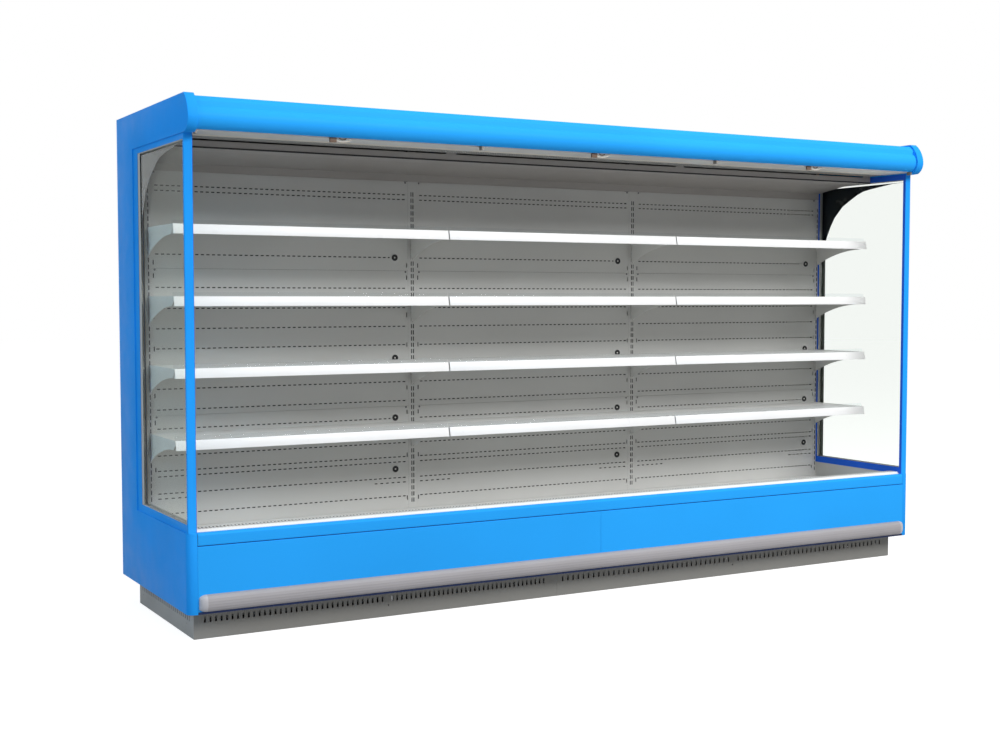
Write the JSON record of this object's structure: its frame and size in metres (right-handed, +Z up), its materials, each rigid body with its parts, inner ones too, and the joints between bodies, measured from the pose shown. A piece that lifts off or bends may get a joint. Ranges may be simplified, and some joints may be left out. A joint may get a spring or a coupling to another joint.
{
  "type": "open multideck display fridge",
  "caption": "Open-fronted refrigerated wall cabinet with shelves, glazed end walls, pull-down night blinds, a rounded canopy and a bumper rail",
  "frame": {"origin": "middle of the cabinet's plan at floor level, under the levelling feet", "axes": "+X along the cabinet to the shopper's right, +Y to its back, +Z up"},
  "size_m": [3.83, 1.0404, 2.132],
  "materials": {
    "blue_panel": "satin",
    "blue_moulding": "satin",
    "blue_frame": "satin",
    "grey_paint": "satin",
    "pale_paint": "satin",
    "taupe_paint": "satin",
    "white_paint": "satin",
    "kick_grey": "satin",
    "bumper_grey": "satin",
    "insulation": "satin",
    "galvanised": "satin",
    "black_steel": "satin",
    "bright_steel": "polished",
    "glass": "gloss",
    "clear_plastic": "gloss",
    "price_white": "satin",
    "coil_aluminium": "satin",
    "fan_black": "satin",
    "pipe_grey": "matte",
    "lamp_cover": "satin",
    "honeycomb": "matte",
    "socket_black": "satin",
    "blind_cloth": "matte",
    "bar_aluminium": "satin",
    "switch_black": "gloss",
    "roller": "matte"
  },
  "bodies": {
    "cabinet": {"base_frame": "galvanised", "levelling_feet": "bright_steel", "kick_plates_front": "kick_grey", "kick_plates_side": "kick_grey", "cabinet_tub": "insulation", "back_wall": "insulation", "roof_panel": "insulation", "end_wall_left": "blue_moulding", "end_wall_right": "blue_moulding", "end_wall_cores": "insulation", "end_glass_left": "glass", "end_glass_right": "glass", "end_inner_frames": "blue_frame", "front_panels": "blue_panel", "front_sill": "blue_panel", "bumper_rail": "bumper_grey", "bumper_end_caps": "bumper_grey", "intake_grilles": "white_paint", "deck_trays": "pale_paint", "deck_supports": "galvanised", "canopy_fascia": "blue_panel", "canopy_soffit": "pale_paint", "canopy_lamps": "lamp_cover", "air_valance": "taupe_paint", "discharge_honeycomb": "honeycomb", "ceiling_panel": "taupe_paint", "blind_brackets": "galvanised", "rear_panels_bay_1": "grey_paint", "rear_panels_bay_2": "grey_paint", "rear_panels_bay_3": "grey_paint", "slotted_uprights": "grey_paint", "shelf_light_sockets": "socket_black", "panel_screws": "bright_steel", "shelves_tier_1": "pale_paint", "shelves_tier_2": "pale_paint", "shelves_tier_3": "pale_paint", "shelves_tier_4": "pale_paint", "shelf_brackets": "pale_paint", "price_rails": "price_white", "shelf_front_stops": "clear_plastic", "evaporator_coil": "coil_aluminium", "fan_plate": "galvanised", "fan_motors": "fan_black", "fan_guards": "black_steel", "drain_trap": "pipe_grey", "electrical_box": "galvanised", "electrical_box_lid": "galvanised"},
    "fan_1": {"fan_rotor_1": "fan_black"},
    "roller_1": {"blind_roller_1": "roller"},
    "blind_1": {"blind_bar_1": "bar_aluminium", "blind_fabric_1": "blind_cloth"},
    "fan_2": {"fan_rotor_2": "fan_black"},
    "roller_2": {"blind_roller_2": "roller"},
    "blind_2": {"blind_bar_2": "bar_aluminium", "blind_fabric_2": "blind_cloth"},
    "fan_3": {"fan_rotor_3": "fan_black"},
    "roller_3": {"blind_roller_3": "roller"},
    "blind_3": {"blind_bar_3": "bar_aluminium", "blind_fabric_3": "blind_cloth"},
    "switch": {"light_switch": "switch_black"}
  },
  "joints": [
    {"name": "fan_1_spin", "type": "hinge", "parent": "cabinet", "child": "fan_1", "pos_m": [-1.25, -0.1058, 0.262], "axis": [0, 1, 0], "continuous": true},
    {"name": "fan_2_spin", "type": "hinge", "parent": "cabinet", "child": "fan_2", "pos_m": [0, -0.1058, 0.262], "axis": [0, 1, 0], "continuous": true},
    {"name": "fan_3_spin", "type": "hinge", "parent": "cabinet", "child": "fan_3", "pos_m": [1.25, -0.1058, 0.262], "axis": [0, 1, 0], "continuous": true},
    {"name": "blind_1_pull", "type": "slide", "parent": "cabinet", "child": "blind_1", "axis": [0, 0, -1], "range_m": [0, 1.56], "deforming": ["blind_fabric_1"]},
    {"name": "blind_2_pull", "type": "slide", "parent": "cabinet", "child": "blind_2", "axis": [0, 0, -1], "range_m": [0, 1.56], "deforming": ["blind_fabric_2"]},
    {"name": "blind_3_pull", "type": "slide", "parent": "cabinet", "child": "blind_3", "axis": [0, 0, -1], "range_m": [0, 1.56], "deforming": ["blind_fabric_3"]},
    {"name": "roller_1_turn", "type": "hinge", "parent": "cabinet", "child": "roller_1", "pos_m": [-1.25, -0.44294, 2.05], "axis": [1, 0, 0], "range_deg": [0, 3760]},
    {"name": "roller_2_turn", "type": "hinge", "parent": "cabinet", "child": "roller_2", "pos_m": [0, -0.44294, 2.05], "axis": [1, 0, 0], "range_deg": [0, 3760]},
    {"name": "roller_3_turn", "type": "hinge", "parent": "cabinet", "child": "roller_3", "pos_m": [1.25, -0.44294, 2.05], "axis": [1, 0, 0], "range_deg": [0, 3760]},
    {"name": "light_switch_rock", "type": "hinge", "parent": "cabinet", "child": "switch", "pos_m": [1.33, 0.0567, 2.098], "axis": [1, 0, 0], "range_deg": [0, 16]}
  ],
  "couplings": [
    {"joint": "roller_1_turn", "follows": "blind_1_pull", "rad_per_m": 42.017},
    {"joint": "roller_2_turn", "follows": "blind_2_pull", "rad_per_m": 42.017},
    {"joint": "roller_3_turn", "follows": "blind_3_pull", "rad_per_m": 42.017}
  ]
}
